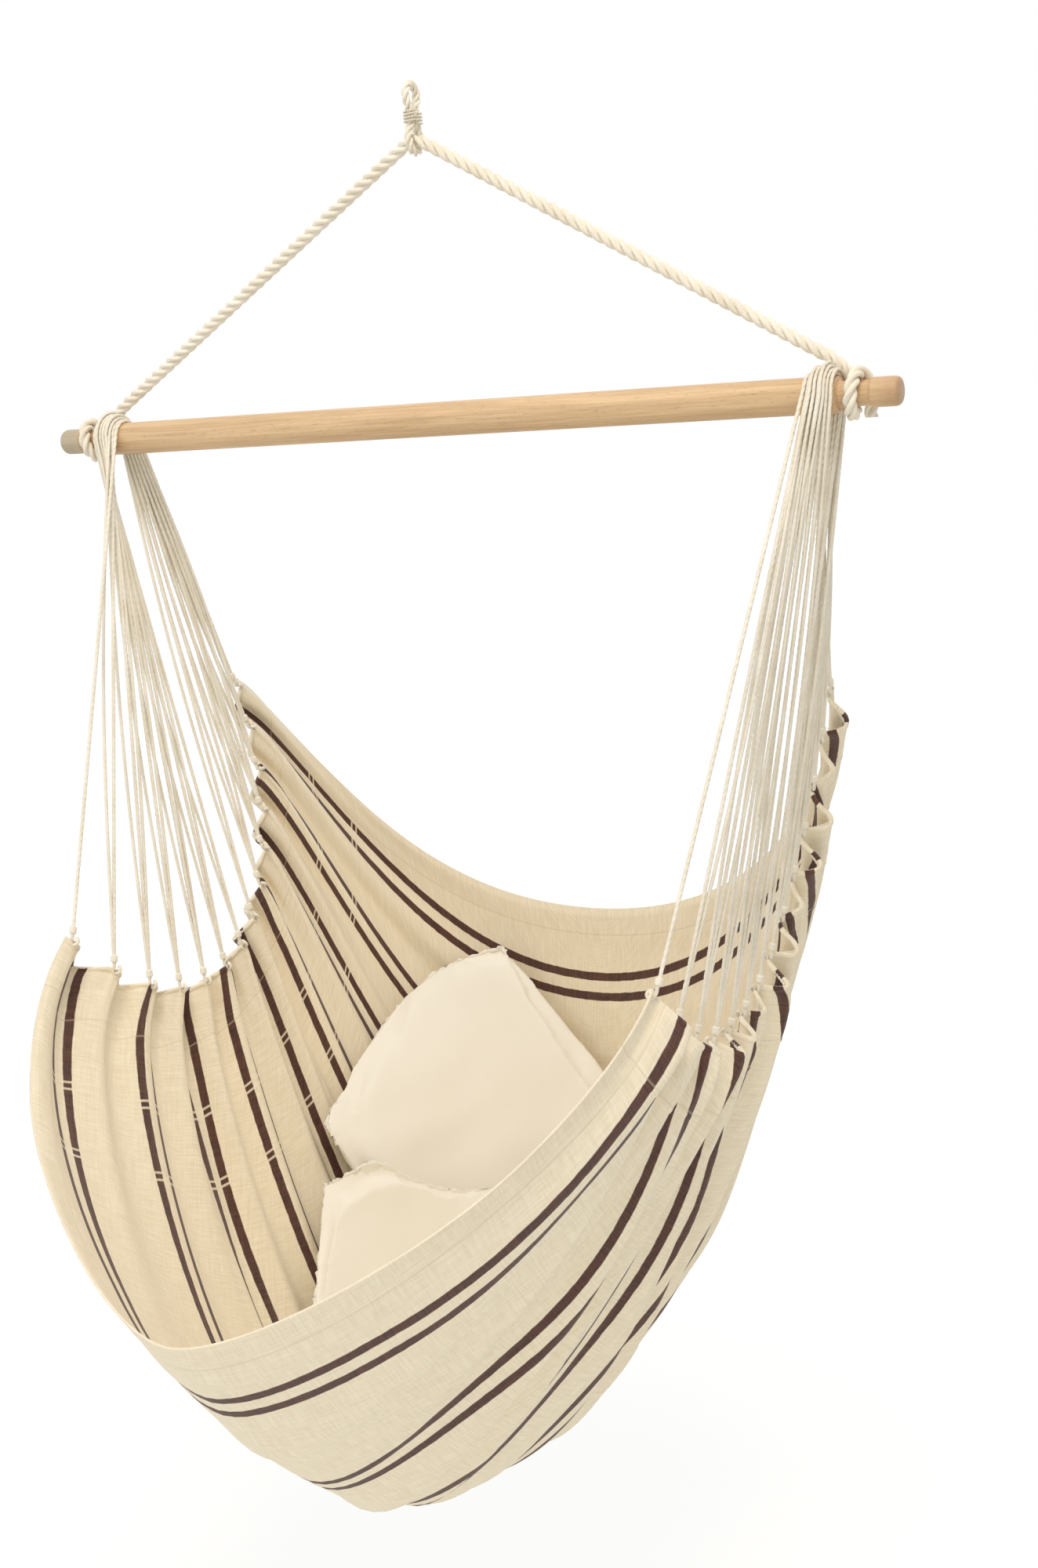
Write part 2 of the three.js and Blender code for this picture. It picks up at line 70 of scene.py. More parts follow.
yaw = camera_side + camera_pan
ahead = math.cos(camera_tilt)
forward = np.array([-math.sin(yaw) * ahead, math.cos(yaw) * ahead, math.sin(camera_tilt)])
level = np.array([math.cos(yaw), math.sin(yaw), 0])
upright = np.cross(level, forward)
right = level * math.cos(camera_roll) + upright * math.sin(camera_roll)
up = upright * math.cos(camera_roll) - level * math.sin(camera_roll)
camera_place = [
    camera_distance * math.sin(camera_side),
    -camera_distance * math.cos(camera_side),
    camera_height,
]
camera_data = bpy.data.cameras.new("photo_camera")
camera_data.sensor_fit = "VERTICAL"
camera_data.sensor_height = 36
camera_data.lens = camera_data.sensor_height * focal_pixels / picture_height
camera = placed("photo_camera", camera_data)
camera_axes = np.array([right, up, -forward, camera_place]).T
camera.matrix_world = Matrix(np.vstack([camera_axes, [0, 0, 0, 1]]).tolist())
bpy.context.scene.camera = camera

# The sling: one laid cotton rope of three strands, 15 mm thick. It makes one turn on the neck at
# each end of the bar, leaves a short tail there and bends over at the crown, where the eye holds it.
seat_gap = 0.4
bar_length = 1100
bar_diameter = 39
neck_diameter = 27
knob_length = 32
knob_diameter = 31
knob_rounding = 5
neck_fillet = 4
rope_diameter = 15
sling_height = 308
crown_bend = 22
hitch_gap = 1.8
hitch_rise = 24
hitch_lead = 34
hitch_tail = 26
eye_height = 55
rope_strands = 3
rope_sides = 24
sling_lay = 44
sling_step = 2.2
arc_steps = 40

bar_radius = bar_diameter / 2
rope_radius = rope_diameter / 2
bar_half = bar_length / 2
hitch_pitch = rope_diameter + hitch_gap
neck_length = rope_diameter + hitch_pitch + seat_gap * 2
knob_start = bar_half - knob_length
neck_start = knob_start - neck_length
hitch_radius = neck_diameter / 2 + seat_gap * 1.3 + rope_radius
hitch_inner = neck_start + seat_gap + rope_radius
bar_height = -eye_height - sling_height


def unit(vectors):
    """Each vector divided by its length."""
    return vectors / np.maximum(np.linalg.norm(vectors, axis=-1, keepdims=True), 1e-12)


def run_of(points):
    """The length along a line of points, summed from its start."""
    return np.concatenate([[0], np.cumsum(np.linalg.norm(np.diff(points, axis=0), axis=1))])


def even(points, step, rounding=0):
    """The line again at equal steps. Each pass of rounding gives every inner point the mean
    (before + 2 here + after) / 4."""
    points = np.asarray(points, float)
    run = run_of(points)
    count = max(int(round(run[-1] / step)), 4)
    at = np.linspace(0, run[-1], count + 1)
    line = np.stack([np.interp(at, run, points[:, k]) for k in range(3)], axis=1)
    for _ in range(rounding):
        line[1:-1] = (line[:-2] + 2 * line[1:-1] + line[2:]) / 4
    return line


def carried(line):
    """Two directions across the line at each of its points. The first one is carried on from point
    to point by taking out what lies along the line, so that it never turns round the line by itself."""
    along = unit(np.gradient(line, axis=0))
    start = np.cross(along[0], [0.3, 0.2, 0.9])
    across = [start / np.linalg.norm(start)]
    for direction in along[1:]:
        kept = across[-1] - direction * across[-1].dot(direction)
        across.append(kept / np.linalg.norm(kept))
    across = np.array(across)
    return across, np.cross(along, across)


def rings_round(line, across, radius, angle):
    """Rings of points round a line, line + first R cos a + second R sin a, where across holds the two
    directions."""
    first, second = across
    return (
        line[:, None]
        + first[:, None] * (np.cos(angle) * radius)[..., None]
        + second[:, None] * (np.sin(angle) * radius)[..., None]
    )


def laid(line, radius, strands, lay, sides, loose=0):
    """Rings of a laid rope. Its strands have radius r and centres at q = radius / (1 + sin(pi / n)),
    with r = radius - q, and turn once in a lay. At the angle f from the nearest strand the surface
    stands q cos f + sqrt(r r - q q sin f sin f) from the line. The rings turn with the strands. In a
    loose cord the strands' yarns fill that share of the grooves."""
    angle = np.arange(sides) * 2 * math.pi / sides
    gap = 2 * math.pi / strands
    f = np.mod(angle + gap / 2, gap) - gap / 2
    q = radius / (1 + math.sin(gap / 2))
    r = radius - q
    reach = q * np.cos(f) + np.sqrt(np.maximum(r * r - (q * np.sin(f)) ** 2, 0))
    reach = reach + (radius - reach) * loose
    turned = angle[None] + (run_of(line) * 2 * math.pi / lay)[:, None]
    return rings_round(line, carried(line), reach, turned)


def put_mesh(name, points, faces, corners=None, lift=bar_height, **marks):
    """Makes an object from points in millimetres, lifted to the row frame. corners is the place of
    each face corner on the piece's own map, and marks are numbers held at the points."""
    mesh = bpy.data.meshes.new(name)
    mesh.from_pydata(((points + [0, 0, lift]) / 1000).tolist(), [], faces)
    mesh.polygons.foreach_set("use_smooth", np.ones(len(faces), bool))
    if corners is not None:
        mesh.uv_layers.new(name="own").data.foreach_set("uv", np.asarray(corners, float).ravel())
    for mark, values in marks.items():
        mesh.attributes.new(mark, "FLOAT", "POINT").data.foreach_set(
            "value", np.asarray(values, float).ravel()
        )
    mesh.validate()
    return placed(name, mesh)


def tube(name, rings, lift=bar_height):
    """A closed skin over a run of rings, with a flat face on each end. On its map the first number
    is the length along the tube in metres, and the second is the share of the way round."""
    count, sides = rings.shape[:2]
    i, j = [grid.ravel() for grid in np.meshgrid(np.arange(count - 1), np.arange(sides), indexing="ij")]
    after = (j + 1) % sides
    faces = np.stack(
        [i * sides + j, i * sides + after, (i + 1) * sides + after, (i + 1) * sides + j], axis=1
    )
    run = run_of(rings.mean(axis=1)) / 1000
    across = np.stack([j, j + 1, j + 1, j], axis=1) / sides
    corners = np.stack(
        [np.stack([run[i], run[i], run[i + 1], run[i + 1]], axis=1), across], axis=2
    ).reshape(-1, 2)
    ends = [list(range(sides))[::-1], list(range((count - 1) * sides, count * sides))]
    flat = np.zeros((2 * sides, 2))
    return put_mesh(
        name, rings.reshape(-1, 3), faces.tolist() + ends, np.concatenate([corners, flat]), lift
    )


def hitch(side):
    """The tail below the neck, then one turn round it: (x, R cos a, R sin a), x moving in by a pitch."""
    outer = hitch_inner + hitch_pitch
    turn = np.linspace(0, 1, arc_steps + 1)
    angle = turn * 2 * math.pi
    x = side * (outer - hitch_pitch * turn)
    round_neck = np.stack([x, np.cos(angle) * hitch_radius, np.sin(angle) * hitch_radius], axis=1)
    tail = [[side * outer, hitch_radius, -hitch_tail], [side * outer, hitch_radius, -hitch_tail / 3]]
    return np.concatenate([tail, round_neck])


bend_centre = sling_height - crown_bend
leg_span = math.hypot(hitch_inner, hitch_rise - bend_centre)
leg_angle = math.atan2(hitch_rise - bend_centre, hitch_inner) + math.acos(crown_bend / leg_span)


def leg(side):
    """A quadratic Bezier curve off the neck, then straight up to the crown."""
    leave = np.array([side * hitch_inner, hitch_radius, 0])
    corner = np.array([side * hitch_inner, hitch_radius, hitch_rise])
    top = np.array(
        [side * math.cos(leg_angle) * crown_bend, 0, bend_centre + math.sin(leg_angle) * crown_bend]
    )
    straight = corner + unit(top - corner) * hitch_lead
    t = np.linspace(0, 1, arc_steps // 4)[1:, None]
    curve = leave * (1 - t) ** 2 + corner * 2 * t * (1 - t) + straight * t * t
    return np.concatenate([curve, [(straight + top) / 2]])


crown = np.linspace(math.pi - leg_angle, leg_angle, arc_steps // 2 + 1)
crown_arc = np.stack(
    [np.cos(crown) * crown_bend, 0 * crown, bend_centre + np.sin(crown) * crown_bend], axis=1
)
sling_line = np.concatenate([hitch(-1), leg(-1), crown_arc, leg(1)[::-1], hitch(1)[::-1]])
sling_line = even(sling_line, sling_step, rounding=6)
sling_rings = laid(sling_line, rope_radius, rope_strands, sling_lay, rope_sides)
sling = tube("sling_rope_laid", sling_rings)


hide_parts("sling_rope")
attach(sling, "sling")

# The hanging eye: a thinner rope that goes round the crown of the sling, is drawn in at the waist and
# opens again above it. Four turns of whipping cord are wound tight round the waist.
eye_strand = 10
eye_hole = 14
waist_low = 18
waist_length = 13.5
whipping_cord = 2.6
whipping_turns = 4
whipping_gap = 0.9
eye_lay = 30
eye_step = 1.5
whipping_strands = 2
whipping_lay = 7
whipping_step = 0.8
whipping_sides = 12

eye_radius = eye_strand / 2
crown_grip = rope_radius + seat_gap + eye_radius
eye_bend = eye_hole / 2 + eye_radius
waist_half = eye_radius + seat_gap
eye_top = eye_height - eye_hole / 2
waist_high = waist_low + waist_length
waist_middle = waist_low + waist_length / 2
low_angle = math.atan2(waist_half, waist_low) + math.acos(crown_grip / math.hypot(waist_half, waist_low))
high_rise = eye_top - waist_high
high_angle = math.pi - math.atan2(waist_half, high_rise) - math.acos(
    eye_bend / math.hypot(waist_half, high_rise)
)


def bend(radius, height, start, end):
    """An arc in the YZ plane, (R sin a, height + R cos a)."""
    angle = np.linspace(start, end, arc_steps)
    return np.stack([0 * angle, np.sin(angle) * radius, height + np.cos(angle) * radius], axis=1)


eye_line = np.concatenate([
    [[0, -waist_half, waist_middle + seat_gap], [0, -waist_half, waist_high]],
    bend(eye_bend, eye_top, -high_angle, high_angle),
    [[0, waist_half, waist_high], [0, waist_half, waist_low]],
    bend(crown_grip, 0, low_angle, 2 * math.pi - low_angle),
    [[0, -waist_half, waist_low], [0, -waist_half, waist_middle - seat_gap]],
])
eye_line = even(eye_line, eye_step, rounding=5)
eye_rings = laid(eye_line, eye_radius, rope_strands, eye_lay, rope_sides)
eye = tube("hanging_eye_laid", eye_rings, lift=-eye_height)
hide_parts("hanging_eye")
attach(eye, "eye")

whip_radius = eye_radius + seat_gap * 2 + whipping_cord / 2
whip_turn = np.linspace(0, whipping_turns, whipping_turns * arc_steps + 1)
whip_angle = whip_turn * 2 * math.pi
whip_line = np.stack([
    np.cos(whip_angle) * whip_radius,
    np.sin(whip_angle) * whip_radius + np.clip(np.sin(whip_angle) * 4, -1, 1) * waist_half,
    waist_middle + (whip_turn - whipping_turns / 2) * (whipping_cord + whipping_gap),
], axis=1)
whip_line = even(whip_line, whipping_step, rounding=2)
whip_rings = laid(whip_line, whipping_cord / 2, whipping_strands, whipping_lay, whipping_sides)
whipping = tube("neck_whipping_cord", whip_rings, lift=-eye_height)
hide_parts("neck_whipping")
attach(whipping, "eye")

# The smooth sheet that the cloth hangs in, as the top of this file gives it, and its folds: between
# each two cords the side edge stands out and sags, and that dies away towards the seat.
cloth_half_width = 368
cloth_reach = 500
cloth_drop = 1220
edge_width = [1, 0.877, 1.127]
edge_reach = [-0.422, 0.22, 0.499, 0.366]
edge_drop = [0.493, 0.685, 0.451, 0.248]
shoulder_width = [0, 0, -0.054]
shoulder_reach = [-0.3, 0.2, 0.2]
shoulder_drop = [0.122, 0.041, 0.033]
belly_width = [0.272, 0.324, 0.87]
middle_reach = [-1, 0.047, 1.1, 0.84]
middle_drop = [0.767, 1.255, 1.06, 0.5]
seat_swing = 0.1715
cords_per_side = 7
cord_diameter = 3.8
edge_cord = 3.4
cord_margin = 0.14
fold_depth = 26
fold_sag = 12
fold_end = 0.35
fold_fade = 1.4
fold_vary = 0.25
nudge = 1e-3

ends_per_side = cords_per_side * 2
cord_span = ends_per_side - 1 + cord_margin * 2


def curve_of(shares, size, t):
    """A Bezier curve of numbers: size times the sum of C(n, k) (1 - t)^(n - k) t^k share_k."""
    n = len(shares) - 1
    return size * sum(
        math.comb(n, k) * (1 - t) ** (n - k) * t**k * share for k, share in enumerate(shares)
    )


def line_at(widths, reaches, drops, v):
    """The point at v on a line from hem to hem, from the shares of its three Bezier curves."""
    across = curve_of(widths, cloth_half_width, v)
    return np.stack([across, curve_of(reaches, cloth_reach, v), -curve_of(drops, cloth_drop, v)], axis=-1)


def sheet(u, v):
    """The smooth sheet: the cubic Bezier curve in t = 1 - |u| over edge, shoulder, belly and middle,
    turned forward about the bar by the seat's swing."""
    u, v = np.broadcast_arrays(np.asarray(u, float), np.asarray(v, float))
    edge = line_at(edge_width, edge_reach, edge_drop, v)
    shoulder = edge + line_at(shoulder_width, shoulder_reach, shoulder_drop, v)
    middle = line_at([0], middle_reach, middle_drop, v)
    belly = middle + line_at(belly_width, [0], [0], v)
    t = (1 - np.abs(u))[..., None]
    upper = (1 - t) ** 3 * edge + 3 * (1 - t) ** 2 * t * shoulder
    x, y, z = np.moveaxis(upper + 3 * (1 - t) * t * t * belly + t**3 * middle, -1, 0)
    cos, sin = math.cos(seat_swing), math.sin(seat_swing)
    return np.stack([x * np.sign(u), y * cos + z * sin, z * cos - y * sin], axis=-1)


def outward(u, v):
    """The direction out of the smooth sheet, dS/dv x dS/du."""
    across = sheet(np.minimum(u + nudge, 1), v) - sheet(np.maximum(u - nudge, -1), v)
    back = sheet(u, np.minimum(v + nudge, 1)) - sheet(u, np.maximum(v - nudge, 0))
    return unit(np.cross(back, across))


def down_from(side, v):
    """The direction down the sheet from its side edge."""
    return unit(sheet(side * (1 - nudge), v) - sheet(side, v))


def fold_wave(v):
    """0 at each cord and 1 halfway between two: 0.5 - 0.5 cos."""
    return 0.5 - 0.5 * np.cos((cord_span * v - cord_margin) * 2 * math.pi)


# The fans: seven cords a side, each of three thin cotton yarns loosely laid together, and up to three
# more yarns beside it. A cord passes over the bar, and both its ends run down to the side edge of the
# cloth, hook the cord in it and are bound with a knot just above.
bundle_inset = 19.4
turn_gap = 0.9
hook_room = 1.3
hook_turn = math.pi * 1.4
visible_cord = 4.6
yarn_cord = 4.4
yarns_beside = [0, 1, 2, 2, 3, 2, 1]
yarn_aside = [[0.6, 1], [-0.4, -1], [-0.9, 0.3]]
yarn_bow = 9
leg_points = 24
knot_radius = 4.4
knot_length = 9
knot_above = 8
knot_rings = 13
knot_sides = 10
cord_strands = 3
cord_lay = 26
cord_step = 2.4
cord_sides = 12
cord_loose = 0.6
yarn_lay = 24
yarn_step = 3
yarn_sides = 10
yarn_loose = 0.7

cord_radius = cord_diameter / 2
edge_radius = edge_cord / 2
hook_radius = edge_radius + hook_room + cord_radius
bundle_radius = bar_radius + seat_gap * 1.5 + cord_radius
sides = {"left": -1, "right": 1}


def hook(start, index, side):
    """The end of a leg: an arc round the edge cord, in the plane across that cord."""
    v = (index + cord_margin) / cord_span
    centre = sheet(side, v)
    along = unit(sheet(side, v + nudge) - sheet(side, v - nudge))
    down = unit(centre - start)
    out = unit(np.cross(down, along)) * side
    down = unit(down - along * down.dot(along))
    angle = np.linspace(0, hook_turn, arc_steps // 2)[:, None]
    return centre + out * np.cos(angle) * hook_radius + down * np.sin(angle) * hook_radius


def leaving_angle(index, side, way, radius):
    """Where on the bar a leg leaves, so that it runs straight down: atan2(z, y) + way acos(R / span)."""
    _, y, z = sheet(side, (index + cord_margin) / cord_span)
    return math.atan2(z, y) + way * math.acos(radius / math.hypot(y, z))


def over_bar(side, index, place, radius):
    """The arc on top of the bar, from where the front leg leaves it to where the back leg does."""
    from_bundle = (index + place - (cords_per_side - 1) / 2) * (cord_diameter + turn_gap)
    x = side * (neck_start - bundle_inset + from_bundle)
    start = leaving_angle(index, side, -1, radius) + 2 * math.pi
    end = leaving_angle(ends_per_side - 1 - index, side, 1, radius)
    angle = np.linspace(start, end, arc_steps // 2 + 1)
    return np.stack([x + 0 * angle, np.cos(angle) * radius, np.sin(angle) * radius], axis=1)


def cord_line(side, index):
    """Up from the front hook, over the bar and down to the back hook."""
    over = over_bar(side, index, 0, bundle_radius)
    other = ends_per_side - 1 - index
    return np.concatenate([hook(over[0], index, side)[::-1], over, hook(over[-1], other, side)])


def yarn_line(side, index, beside):
    """A soft yarn that runs beside a cord from knot to knot, in a layer of its own on the bar. Its
    legs bow out from the cord by bow sin(pi s)."""
    layer = bundle_radius + (cord_radius + yarn_cord / 2) * (0.9 + 0.95 * beside)
    over = over_bar(side, index, 0.5 * ((beside + 1) % 2), layer)
    cord = over_bar(side, index, 0, bundle_radius)
    legs = []
    for end, on_bar, index_here in [(0, over[0], index), (-1, over[-1], ends_per_side - 1 - index)]:
        hooked = hook(cord[end], index_here, side)[0]
        knot_place = hooked + unit(cord[end] - hooked) * knot_above
        s = np.linspace(0, 1, leg_points)[:, None]
        leg = on_bar - knot_place
        outwards, along_edge = yarn_aside[beside]
        aside = unit(np.cross(leg, [side, 0, 0])) * along_edge + np.array([side * outwards, 0, 0])
        legs.append(knot_place + leg * s + aside * np.sin(np.pi * s) * yarn_bow)
    return np.concatenate([legs[0][:-1], over, legs[1][-2::-1]])


def knot(line, index):
    """Four turns of binding on a cord, as rings of radius R (0.86 + 0.14 |sin 4 pi t|), drawn in at
    both ends."""
    first, second = carried(line)
    here = slice(index, index + knot_rings)
    t = np.linspace(0, 1, knot_rings)
    turns = 0.86 + 0.14 * np.abs(np.sin(4 * math.pi * t))
    ends_in = np.minimum(1, 0.55 + 4 * np.minimum(t, 1 - t))
    radius = knot_radius * turns * ends_in
    angle = np.arange(knot_sides) * 2 * math.pi / knot_sides
    return rings_round(line[here], (first[here], second[here]), radius[:, None], angle)


cord_pieces = []
for name, side in sides.items():
    for index in range(cords_per_side):
        line = even(cord_line(side, index), cord_step, rounding=2)
        rings = laid(line, visible_cord / 2, cord_strands, cord_lay, cord_sides, cord_loose)
        piece = tube(f"{name}_cord_{index + 1}_laid", rings)
        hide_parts(f"{name}_cord_{index + 1}")
        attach(piece, "seat")
        cord_pieces.append(piece)
        for beside in range(yarns_beside[index]):
            yarn = even(yarn_line(side, index, beside), yarn_step, rounding=2)
            rings = laid(yarn, yarn_cord / 2, cord_strands, yarn_lay, yarn_sides, yarn_loose)
            piece = tube(f"{name}_cord_{index + 1}_yarn_{beside + 1}", rings)
            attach(piece, "seat")
            cord_pieces.append(piece)
        knot_step = knot_length / (knot_rings - 1)
        fine = even(line, knot_step)
        hook_points = int(hook_turn * hook_radius / knot_step) + 10
        back_start = len(fine) - hook_points - knot_rings
        for end, rings in [("front", knot(fine, hook_points)), ("back", knot(fine, back_start))]:
            bound = tube(f"{name}_knot_{end}_{index + 1}", rings)
            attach(bound, "seat")
            cord_pieces.append(bound)

# The edge cord: a laid cotton cord that runs down each side edge of the cloth, inside its rolled
# edge, and through all the hooks of the fan, which hold it.
edge_straight = cord_radius + edge_radius + seat_gap
edge_lay = 14
edge_step = 2.2
for name, side in sides.items():
    rows = np.concatenate([[0], (np.arange(ends_per_side * 2 - 1) / 2 + cord_margin) / cord_span, [1]])
    stops = []
    for v in rows:
        along = unit(sheet(side, min(v + nudge, 1)) - sheet(side, max(v - nudge, 0)))
        fold = fold_wave(v) * (1 + fold_vary * math.sin(cord_span * v * 2))
        stands_out = outward(side, v) * fold * fold_depth
        place = sheet(side, v) + stands_out + down_from(side, v) * fold * fold_sag
        straight = [-edge_straight, 0, edge_straight] if 0 < v < 1 and fold_wave(v) < 0.5 else [0]
        stops += [place + along * length for length in straight]
    line = even(stops, edge_step, rounding=8)
    rings = laid(line, edge_radius, cord_strands, edge_lay, cord_sides)
    piece = tube(f"{name}_edge_cord_laid", rings)
    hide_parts(f"{name}_edge_cord")
    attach(piece, "seat")
    cord_pieces.append(piece)


def linear(code):
    """An sRGB hex colour as the linear colour that a shader takes."""
    values = [int(code[k : k + 2], 16) / 255 for k in (1, 3, 5)]
    return [x / 12.92 if x <= 0.04045 else ((x + 0.055) / 1.055) ** 2.4 for x in values] + [1]


def add(tree, kind, inputs=(), **fields):
    """Adds one node. fields are its settings, and inputs maps a socket to a value or to the output
    that feeds it."""
    made = tree.nodes.new(kind)
    for field, value in fields.items():
        setattr(made, field, value)
    for socket, value in dict(inputs).items():
        if isinstance(value, bpy.types.NodeSocket):
            tree.links.new(value, made.inputs[socket])
        else:
            made.inputs[socket].default_value = value
    return made


def finish_of(name):
    """A new material, its node tree and its shader."""
    material = bpy.data.materials.new(name)
    material.use_nodes = True
    tree = material.node_tree
    return material, tree, tree.nodes["Principled BSDF"]


def streaks(tree, vector, cells, **settings):
    """A noise pulled out into streaks: the noise at cells * vector, cells a metre along each axis."""
    pulled = add(tree, "ShaderNodeMapping", {"Vector": vector, "Scale": cells})
    inputs = {"Vector": pulled.outputs["Vector"], "Scale": 1, **settings}
    return add(tree, "ShaderNodeTexNoise", inputs).outputs["Fac"]


def away_from(tree, value, middle):
    """How far a number lies from a middle, |value - middle|."""
    less = add(tree, "ShaderNodeMath", {0: value, 1: middle}, operation="SUBTRACT")
    return add(tree, "ShaderNodeMath", {0: less.outputs[0]}, operation="ABSOLUTE").outputs[0]


def seen_by(tree, kinds):
    """1 for rays of these kinds and 0 for others: the largest of the kinds' marks."""
    rays = add(tree, "ShaderNodeLightPath")
    seen = rays.outputs[kinds[0]]
    for kind in kinds[1:]:
        marks = {0: seen, 1: rays.outputs[kind]}
        seen = add(tree, "ShaderNodeMath", marks, operation="MAXIMUM").outputs[0]
    return seen


def shaded(tree, colour, value, start, end, most, code):
    """A colour with another over it: its share rises from 0 to most as the value runs from start to
    end."""
    inputs = {"Value": value, "From Min": start, "From Max": end, "To Max": most}
    share = add(tree, "ShaderNodeMapRange", inputs).outputs[0]
    inputs = {"Factor": share, 6: colour, 7: linear(code)}
    return add(tree, "ShaderNodeMix", inputs, data_type="RGBA").outputs[2]


def dress(tree, shader, colour, relief, numbers):
    """Gives the shader its colour, its relief (height, strength, depth in metres) and its uniform
    numbers."""
    height, strength, depth = relief
    bump = add(tree, "ShaderNodeBump", {"Height": height, "Strength": strength, "Distance": depth})
    tree.links.new(colour, shader.inputs["Base Color"])
    tree.links.new(bump.outputs["Normal"], shader.inputs["Normal"])
    for socket, value in numbers.items():
        shader.inputs[socket].default_value = value


# Cotton rope and cord: undyed yarn, matt and slightly fuzzy. Fine fibres run along it, and its colour
# varies from fibre to fibre and in soft patches.
cotton_yarn, tree, shader = finish_of("undyed_cotton_yarn")
yarn_millimetres = 1.1
own = add(tree, "ShaderNodeUVMap", uv_map="own")
spread = add(
    tree,
    "ShaderNodeMapping",
    {"Vector": own.outputs["UV"], "Scale": [180, 42, 1], "Rotation": [0, 0, 0.02]},
)
fibre = add(
    tree,
    "ShaderNodeTexNoise",
    {"Vector": spread.outputs["Vector"], "Scale": 1, "Detail": 4, "Roughness": 0.6},
)
place = add(tree, "ShaderNodeTexCoord")
patch = add(tree, "ShaderNodeTexNoise", {"Vector": place.outputs["Object"], "Scale": 26, "Detail": 3})
yarn_tone = add(
    tree, "ShaderNodeMath", {0: fibre.outputs["Fac"], 1: patch.outputs["Fac"]}, operation="ADD"
)
colour = shaded(tree, linear("#E4D9C2"), yarn_tone.outputs[0], 0.7, 1.3, 1, "#F8F1E1")
relief = (fibre.outputs["Fac"], 0.35, yarn_millimetres / 2000)
dress(tree, shader, colour, relief, {"Roughness": 0.93, "Sheen Weight": 0.25, "Sheen Roughness": 0.6})
for piece in [sling, eye, whipping, *cord_pieces]:
    piece.data.materials.append(cotton_yarn)

# The spreader bar: a round stick of light beech, turned down to a neck and a knob at each end, sanded
# and thinly lacquered. Its grain runs along it; its left end is painted grey as painted shade, and its
# right knob is drawn darker.
bar_sides = 96
corner_cut = 3
long_steps = 40


def rounded(corners, steps=6):
    """A profile with each inner corner rounded by a quadratic Bezier curve. The curve starts and ends
    at corner_cut from the corner, but never past 0.45 of a side."""
    corners = np.asarray(corners, float)
    lengths = np.linalg.norm(np.diff(corners, axis=0), axis=1)
    cut = np.minimum(0.45, corner_cut / np.maximum(lengths, 1e-6))
    t = np.linspace(0, 1, steps)[:, None]
    made = [corners[:1]]
    for k in range(1, len(corners) - 1):
        start = corners[k] + (corners[k - 1] - corners[k]) * cut[k - 1]
        end = corners[k] + (corners[k + 1] - corners[k]) * cut[k]
        made.append(start * (1 - t) ** 2 + corners[k] * 2 * t * (1 - t) + end * t * t)
    return np.concatenate([*made, corners[-1:]])


knob_radius = knob_diameter / 2
half_profile = [
    [0, bar_radius],
    [neck_start - neck_fillet, bar_radius],
    [neck_start - neck_fillet / 3, bar_radius - neck_fillet / 2],
    [neck_start, neck_diameter / 2],
    [knob_start, neck_diameter / 2],
    [knob_start + neck_fillet / 2, knob_radius],
    [bar_half - knob_rounding, knob_radius],
    [bar_half - knob_rounding / 3, knob_radius - knob_rounding / 3],
    [bar_half, knob_radius - knob_rounding],
    [bar_half, 0.4],
]
half = rounded(half_profile)
straight = np.linspace(0, half[1, 0], long_steps)[1:-1]
straight = np.stack([straight, bar_radius + 0 * straight], axis=1)
half = np.concatenate([half[:1], straight, half[1:]])
profile = np.concatenate([half[:0:-1] * [-1, 1], half])
angle = np.arange(bar_sides) * 2 * math.pi / bar_sides
bar_rings = np.stack([
    np.broadcast_to(profile[:, :1], (len(profile), bar_sides)),
    profile[:, 1:] * np.cos(angle),
    profile[:, 1:] * np.sin(angle),
], axis=2)
bar = tube("spreader_bar_turned", bar_rings)
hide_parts("spreader_bar")
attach(bar, "sling")

# Beech grain: fine streaks 1.4 mm wide and some 70 mm long, under a wider and softer figure, with
# short dark flecks. The lacquer is thin and satin; the left neck and knob are mixed towards grey as
# painted shade, and the right knob is mixed towards a darker brown.
beech, tree, shader = finish_of("lacquered_beech")
place = add(tree, "ShaderNodeTexCoord")
along = place.outputs["Object"]
streak = streaks(tree, along, [14, 700, 700], Detail=4, Roughness=0.55)
figure = streaks(tree, along, [3, 90, 90], Detail=2, Distortion=0.6)
fleck = streaks(tree, along, [90, 900, 900], Detail=1)
grain = add(tree, "ShaderNodeMath", {0: streak, 1: figure}, operation="ADD")
split = add(tree, "ShaderNodeSeparateXYZ", {0: along})
colour = shaded(tree, linear("#BC9A70"), grain.outputs[0], 0.7, 1.3, 1, "#E0BF94")
colour = shaded(tree, colour, fleck, 0.64, 0.74, 0.45, "#8E6B45")
# Painted shade: from the left neck outwards the wood is mixed towards grey.
colour = shaded(tree, colour, split.outputs["X"], -0.49, -0.53, 0.75, "#A39C88")
# The right knob is mixed towards a darker brown.
colour = shaded(tree, colour, split.outputs["X"], 0.52, 0.549, 0.6, "#A67F5C")
relief = (streak, 0.25, 0.0004)
dress(tree, shader, colour, relief, {"Roughness": 0.5, "Coat Weight": 0.12, "Coat Roughness": 0.35})
bar.data.materials.append(beech)

# The cloth: one wide piece of heavy cotton weave, hemmed on all four sides. The side hems are 75 mm
# deep, folded to the outside and sewn down, and take the edge cord. It hangs from the fans in folds
# that fade into the seat, and long soft creases run from one side edge to the other under it.
cloth_thickness = 1.3
edge_roll = 1.3
side_hem = 75
end_hem = 42
hem_step = 1.1
roll_radius = edge_radius + edge_roll
notch_depth = hook_radius + cord_radius + seat_gap * 1.5 + roll_radius
notch_share = 0.0042
crease_count = 34
swoop_count = 9
long_fold_height = 13
long_fold_middle = 0.45
long_fold_reach = 0.28

